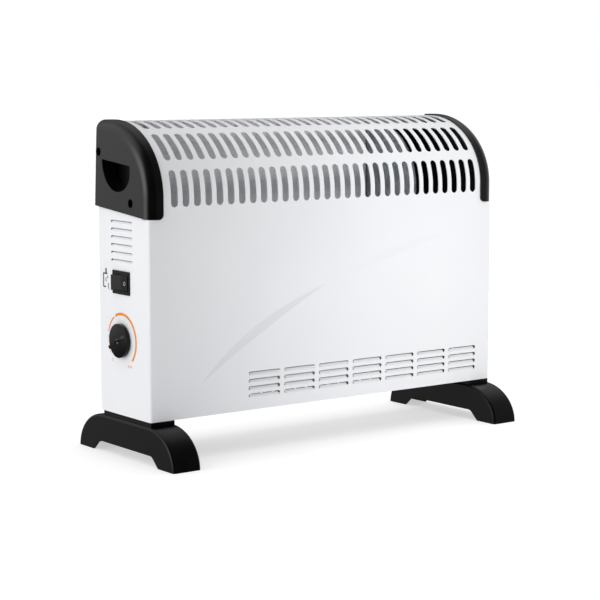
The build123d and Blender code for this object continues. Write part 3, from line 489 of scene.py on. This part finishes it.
# Phenolic: dark brown with paler wood flour specks, a dull gloss.
phenolic, tree, shader, place = material("phenolic_moulding_brown", Roughness=0.38, IOR=1.6)
specks = add(tree, "ShaderNodeTexNoise", {"Vector": (place, "Object"), "Scale": 900.0, "Detail": 3.0})
tint = add(
    tree, "ShaderNodeValToRGB", {"Fac": (specks, "Fac")}, stops=[(0.4, "#21150f"), (0.75, "#4a3325")]
)
tree.links.new(tint.outputs["Color"], shader.inputs["Base Color"])
finish(phenolic, "thermostat_body", "thermal_cutout")

# ---------------------------------------------------------------- fan shroud and duct
# Moulded in black glass filled polyester, which keeps its shape beside the hot chamber. The duct's black
# lining of the fan's compartment is painted shade: it keeps the slots at the right end dark inside.

# Glass filled polyester: matt black, with short fibres just under the skin that show dark grey.
filled, tree, shader, place = material("black_polyester_glass_filled_and_painted_shade", Roughness=0.55)
stretch = add(tree, "ShaderNodeMapping", {"Vector": (place, "Object"), "Scale": (900.0, 900.0, 180.0)})
fibres = add(tree, "ShaderNodeTexNoise", {"Vector": (stretch, "Vector"), "Scale": 1.0, "Detail": 2.0})
tint = add(
    tree, "ShaderNodeValToRGB", {"Fac": (fibres, "Fac")}, stops=[(0.5, "#0c0c0d"), (0.8, "#1d1d1f")]
)
tree.links.new(tint.outputs["Color"], shader.inputs["Base Color"])
# The duct's black is painted shade seen through the slots at the right end; the shroud's black is the
# plastic's own colour.
finish(filled, "fan_shroud", "fan_duct")

# ---------------------------------------------------------------- fan impeller and motor
# A pressed aluminium impeller on a shaded pole motor: a stack of stamped laminations, a wound bobbin
# wrapped in tape, and a solid looking rotor of the same laminations.

# Aluminium sheet: pale and softly brushed, with faint marks drawn the way the press closed.
aluminium, tree, shader, place = material("aluminium_sheet_pressed", Metallic=1.0, Roughness=0.36)
stretch = add(tree, "ShaderNodeMapping", {"Vector": (place, "Object"), "Scale": (900.0, 900.0, 90.0)})
marks = add(tree, "ShaderNodeTexNoise", {"Vector": (stretch, "Vector"), "Scale": 1.0, "Detail": 3.0})
tint = add(
    tree, "ShaderNodeValToRGB", {"Fac": (marks, "Fac")}, stops=[(0.3, "#c6c8ca"), (0.7, "#e2e3e4")]
)
tree.links.new(tint.outputs["Color"], shader.inputs["Base Color"])
finish(aluminium, "fan_impeller")


def bands_at(place, pitch):
    """A wave texture's place and scale for bands at a pitch: its own bands are tau / 20 apart."""
    return {"Vector": (place, "Object"), "Scale": tau / 20 / pitch}


# Laminations: blued steel sheets 0.5 mm thick, drawn 1 mm thick so that the stack shows its lines.
laminated, tree, shader, place = material("blued_steel_laminations", Metallic=1.0, Roughness=0.42)
stack = add(
    tree, "ShaderNodeTexWave", bands_at(place, 1.0 * MM) | {"Distortion": 0.4, "Detail": 1.0},
    wave_type="BANDS", bands_direction="Z",
)
tint = add(
    tree, "ShaderNodeValToRGB", {"Fac": (stack, "Fac")}, stops=[(0.2, "#24272b"), (0.6, "#5c6168")]
)
tree.links.new(tint.outputs["Color"], shader.inputs["Base Color"])
edge_depth = {"Height": (stack, "Fac"), "Strength": 0.4, "Distance": 0.2 * MM}
edge_bump = add(tree, "ShaderNodeBump", edge_depth)
tree.links.new(edge_bump.outputs["Normal"], shader.inputs["Normal"])
finish(laminated, "fan_rotor", "fan_stator")

# Bobbin tape: amber polyester film over the copper turns, which show as fine lines through it.
tape_look = {"Roughness": 0.3, "Coat_Weight": 0.4, "Coat_Roughness": 0.15}
taped, tree, shader, place = material("amber_coil_tape", **tape_look)
turns = add(
    tree, "ShaderNodeTexWave", bands_at(place, 0.8 * MM) | {"Distortion": 0.8, "Detail": 1.0},
    wave_type="BANDS", bands_direction="Y",
)
tint = add(
    tree, "ShaderNodeValToRGB", {"Fac": (turns, "Fac")}, stops=[(0.2, "#8a4a12"), (0.8, "#c98a2c")]
)
tree.links.new(tint.outputs["Color"], shader.inputs["Base Color"])
finish(taped, "fan_coil")

# ---------------------------------------------------------------- mica cards and ceramic bushes
# Sheets of pressed mica hold the coils clear of the frame, and glazed porcelain bushes carry the ends.

# Mica board: brown gold, in flakes about 2 mm across, some paler and some shinier than others.
mica, tree, shader, place = material("mica_board_pressed", IOR=1.58)
flakes = add(tree, "ShaderNodeTexVoronoi", {"Vector": (place, "Object"), "Scale": 1 / (2 * MM)})
flake = add(tree, "ShaderNodeSeparateColor", {"Color": (flakes, "Color")})
tint = add(
    tree, "ShaderNodeValToRGB", {"Fac": (flake, "Red")}, stops=[(0.0, "#8c7a58"), (1.0, "#b9a988")]
)
tree.links.new(tint.outputs["Color"], shader.inputs["Base Color"])
glint = add(tree, "ShaderNodeMapRange", {"Value": (flake, "Green"), "To Min": 0.15, "To Max": 0.5})
tree.links.new(glint.outputs["Result"], shader.inputs["Roughness"])
finish(mica, "mica_cards")

# Porcelain: warm white under a clear glaze, with small iron specks.
glazed_look = {"Roughness": 0.3, "Coat_Weight": 0.8, "Coat_Roughness": 0.08}
porcelain, tree, shader, place = material("white_porcelain_glazed", **glazed_look)
iron = add(tree, "ShaderNodeTexNoise", {"Vector": (place, "Object"), "Scale": 700.0, "Detail": 2.0})
tint = add(
    tree, "ShaderNodeValToRGB", {"Fac": (iron, "Fac")}, stops=[(0.25, "#b8ab95"), (0.4, "#eeeae0")]
)
tree.links.new(tint.outputs["Color"], shader.inputs["Base Color"])
finish(porcelain, "ceramic_bushes")

# ---------------------------------------------------------------- heating coils
# Three long coils of nickel chromium wire wound on a rod, then stretched to an even pitch and hooked
# through the porcelain bushes. They glow a dull red in use and are blue grey when cold.

wire_radius = 0.45 * MM
coil_pitch = 3.6 * MM
points_per_turn = 14
coils_low, coils_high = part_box("heating_coils")
outer_radius = (coils_high.z - coils_low.z) / 2
coil_radius = outer_radius - wire_radius
coil_z = (coils_high.z + coils_low.z) / 2
middle_y = (coils_low.y + coils_high.y) / 2
spacing = coils_high.y - outer_radius - middle_y
turn_count = int((coils_high.x - coils_low.x - 2 * wire_radius) / coil_pitch)

coil_curve = bpy.data.curves.new("heating_coil_wires", "CURVE")
coil_curve.dimensions = "3D"
coil_curve.bevel_depth = wire_radius
coil_curve.bevel_resolution = 1
coil_curve.use_fill_caps = True
for axis_y in (middle_y - spacing, middle_y, middle_y + spacing):
    spline = coil_curve.splines.new("POLY")
    total = turn_count * points_per_turn
    spline.points.add(total)
    for i in range(total + 1):
        angle = tau * i / points_per_turn
        x = coils_low.x + wire_radius + i * coil_pitch / points_per_turn
        y = axis_y + coil_radius * sin(angle)
        z = coil_z + coil_radius * cos(angle)
        spline.points[i].co = (x, y, z, 1)
coil_wires = bpy.data.objects.new("heating_coil_wires", coil_curve)
bpy.context.collection.objects.link(coil_wires)

# Oxidised nickel chromium: dark grey with straw and blue heat tints that change every few turns.
nichrome, tree, shader, place = material("nichrome_wire_heat_tinted", Metallic=1.0, Roughness=0.4)
heat = add(tree, "ShaderNodeTexNoise", {"Vector": (place, "Object"), "Scale": 60.0, "Detail": 2.0})
heat_stops = [(0.3, "#4c535e"), (0.5, "#6d6a68"), (0.7, "#86745c")]
tint = add(tree, "ShaderNodeValToRGB", {"Fac": (heat, "Fac")}, heat_stops)
tree.links.new(tint.outputs["Color"], shader.inputs["Base Color"])
coil_curve.materials.append(nichrome)
finish(nichrome, "heating_coils")
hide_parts("heating_coils")
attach(coil_wires, "casing")

# ---------------------------------------------------------------- terminal block
# A strip of moulded polyamide, where the supply cord's cores would join the heater's own wiring.
# It stands on the base panel, near where the cord comes in.

# Unfilled polyamide: ivory, slightly waxy, a little light passes into it.
ivory_look = {"Roughness": 0.42, "Subsurface_Weight": 0.1}
polyamide, tree, shader, place = material("ivory_polyamide_moulded", **ivory_look)
shader.inputs["Subsurface Radius"].default_value = (0.002, 0.0016, 0.001)
cast = add(tree, "ShaderNodeTexNoise", {"Vector": (place, "Object"), "Scale": 120.0, "Detail": 2.0})
tint = add(
    tree, "ShaderNodeValToRGB", {"Fac": (cast, "Fac")}, stops=[(0.3, "#ddd3b8"), (0.7, "#e8e0c9")]
)
tree.links.new(tint.outputs["Color"], shader.inputs["Base Color"])
finish(polyamide, "terminal_block")

# ---------------------------------------------------------------- rocker marks
# The off mark, a plain ring, is hot stamped in light grey foil on the front half of the rocker,
# which lies parallel to the wing when the switch is off.

front_half_lift = 2.2 * MM
front_half_x = wing_x - front_half_lift
on_front_half = (Vector((front_half_x, switch_y, switch_z)), forwards, upwards, out_left)
off_mark = [ring((9.6, -0.4), 1.9, 0.55, 24)]
print_strokes("off_mark", off_mark, on_front_half, "rocker", foil)
